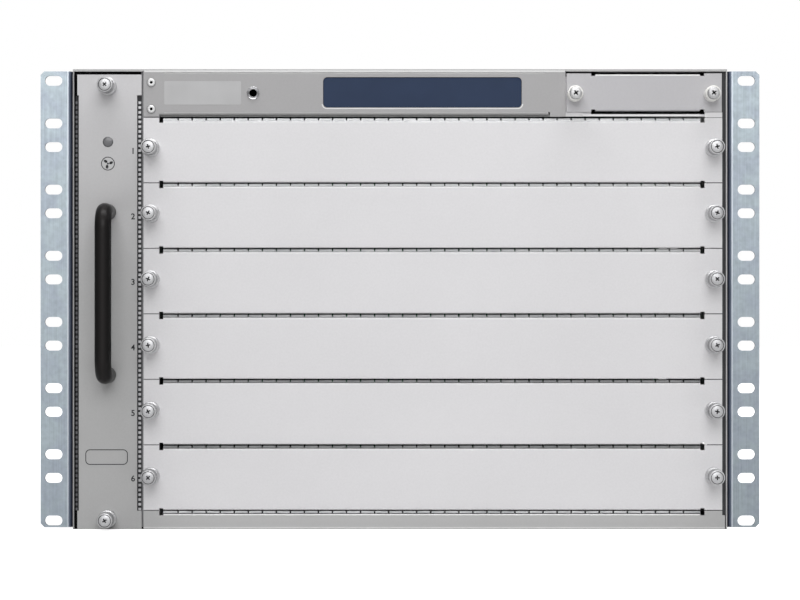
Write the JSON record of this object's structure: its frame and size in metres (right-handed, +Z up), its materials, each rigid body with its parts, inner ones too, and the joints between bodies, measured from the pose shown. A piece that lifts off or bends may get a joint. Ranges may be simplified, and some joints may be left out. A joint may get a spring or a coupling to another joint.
{
  "type": "router chassis",
  "caption": "Rack-mount modular router chassis with stacked blank slot covers, a pull-out fan tray with a black handle, slotted rack ears and plug-in rear power supplies.",
  "frame": {"origin": "middle of the chassis underside, halfway between the front face of the slot covers and the rear panel", "axes": "+Z up, the front faces -Y, +X to the right when seen from the front"},
  "size_m": [0.4826, 0.6215, 0.308],
  "materials": {
    "shell_paint": "satin",
    "bezel_paint": "satin",
    "cover_paint": "satin",
    "sensor_paint": "satin",
    "badge_navy": "satin",
    "screw_steel": "polished",
    "socket_metal": "polished",
    "zinc_plate": "satin",
    "bare_sheet": "satin",
    "board_green": "satin",
    "connector_black": "matte",
    "handle_black": "satin",
    "lens_grey": "gloss",
    "fan_black": "matte",
    "gasket_metal": "satin",
    "sleeve_white": "satin",
    "supply_case": "satin"
  },
  "bodies": {
    "chassis": {"base_pan": "shell_paint", "sill_gasket": "gasket_metal", "left_side_panel": "shell_paint", "right_side_panel": "shell_paint", "top_cover": "shell_paint", "rear_panel": "shell_paint", "front_bezel": "bezel_paint", "badge_plate": "badge_navy", "bezel_rivets": "screw_steel", "wrist_strap_socket": "socket_metal", "fan_bay_wall": "bare_sheet", "card_guides": "bare_sheet", "cage_deck": "bare_sheet", "backplane": "board_green", "backplane_connectors": "connector_black", "left_rack_ear": "zinc_plate", "right_rack_ear": "zinc_plate", "rack_ear_screws": "screw_steel"},
    "fan_tray": {"fan_tray_panel": "bezel_paint", "fan_tray_frame": "bare_sheet", "fan_status_lens": "lens_grey", "fan_housings": "fan_black", "fan_tray_connector": "connector_black", "fan_handle": "handle_black", "fan_tray_gaskets": "gasket_metal", "fan_tray_screws": "screw_steel"},
    "sensor_module": {"sensor_panel": "sensor_paint", "sensor_board": "board_green", "sensor_sleeves": "sleeve_white", "sensor_screws": "screw_steel"},
    "left_supply": {"left_supply_case": "supply_case", "left_supply_inlet": "connector_black", "left_supply_handle": "handle_black"},
    "right_supply": {"right_supply_case": "supply_case", "right_supply_inlet": "connector_black", "right_supply_handle": "handle_black"},
    "slot_blank_1": {"slot_cover_1": "cover_paint", "slot_gasket_1": "gasket_metal", "slot_screws_1": "screw_steel"},
    "rotor_1": {"impeller_1": "fan_black"},
    "slot_blank_2": {"slot_cover_2": "cover_paint", "slot_gasket_2": "gasket_metal", "slot_screws_2": "screw_steel"},
    "rotor_2": {"impeller_2": "fan_black"},
    "slot_blank_3": {"slot_cover_3": "cover_paint", "slot_gasket_3": "gasket_metal", "slot_screws_3": "screw_steel"},
    "rotor_3": {"impeller_3": "fan_black"},
    "slot_blank_4": {"slot_cover_4": "cover_paint", "slot_gasket_4": "gasket_metal", "slot_screws_4": "screw_steel"},
    "rotor_4": {"impeller_4": "fan_black"},
    "slot_blank_5": {"slot_cover_5": "cover_paint", "slot_gasket_5": "gasket_metal", "slot_screws_5": "screw_steel"},
    "rotor_5": {"impeller_5": "fan_black"},
    "slot_blank_6": {"slot_cover_6": "cover_paint", "slot_gasket_6": "gasket_metal", "slot_screws_6": "screw_steel"},
    "rotor_6": {"impeller_6": "fan_black"}
  },
  "joints": [
    {"name": "fan_tray_slide", "type": "slide", "parent": "chassis", "child": "fan_tray", "axis": [0, -1, 0], "range_m": [0, 0.42]},
    {"name": "sensor_module_slide", "type": "slide", "parent": "chassis", "child": "sensor_module", "axis": [0, -1, 0], "range_m": [0, 0.13]},
    {"name": "left_supply_slide", "type": "slide", "parent": "chassis", "child": "left_supply", "axis": [0, 1, 0], "range_m": [0, 0.12]},
    {"name": "right_supply_slide", "type": "slide", "parent": "chassis", "child": "right_supply", "axis": [0, 1, 0], "range_m": [0, 0.12]},
    {"name": "slot_blank_1_pull", "type": "slide", "parent": "chassis", "child": "slot_blank_1", "axis": [0, -1, 0], "range_m": [0, 0.1]},
    {"name": "slot_blank_2_pull", "type": "slide", "parent": "chassis", "child": "slot_blank_2", "axis": [0, -1, 0], "range_m": [0, 0.1]},
    {"name": "slot_blank_3_pull", "type": "slide", "parent": "chassis", "child": "slot_blank_3", "axis": [0, -1, 0], "range_m": [0, 0.1]},
    {"name": "slot_blank_4_pull", "type": "slide", "parent": "chassis", "child": "slot_blank_4", "axis": [0, -1, 0], "range_m": [0, 0.1]},
    {"name": "slot_blank_5_pull", "type": "slide", "parent": "chassis", "child": "slot_blank_5", "axis": [0, -1, 0], "range_m": [0, 0.1]},
    {"name": "slot_blank_6_pull", "type": "slide", "parent": "chassis", "child": "slot_blank_6", "axis": [0, -1, 0], "range_m": [0, 0.1]},
    {"name": "impeller_1_spin", "type": "hinge", "parent": "fan_tray", "child": "rotor_1", "pos_m": [-0.2079, -0.2, 0.21975], "axis": [1, 0, 0], "continuous": true},
    {"name": "impeller_2_spin", "type": "hinge", "parent": "fan_tray", "child": "rotor_2", "pos_m": [-0.2079, -0.076, 0.21975], "axis": [1, 0, 0], "continuous": true},
    {"name": "impeller_3_spin", "type": "hinge", "parent": "fan_tray", "child": "rotor_3", "pos_m": [-0.2079, 0.048, 0.21975], "axis": [1, 0, 0], "continuous": true},
    {"name": "impeller_4_spin", "type": "hinge", "parent": "fan_tray", "child": "rotor_4", "pos_m": [-0.2079, -0.2, 0.08425], "axis": [1, 0, 0], "continuous": true},
    {"name": "impeller_5_spin", "type": "hinge", "parent": "fan_tray", "child": "rotor_5", "pos_m": [-0.2079, -0.076, 0.08425], "axis": [1, 0, 0], "continuous": true},
    {"name": "impeller_6_spin", "type": "hinge", "parent": "fan_tray", "child": "rotor_6", "pos_m": [-0.2079, 0.048, 0.08425], "axis": [1, 0, 0], "continuous": true}
  ]
}
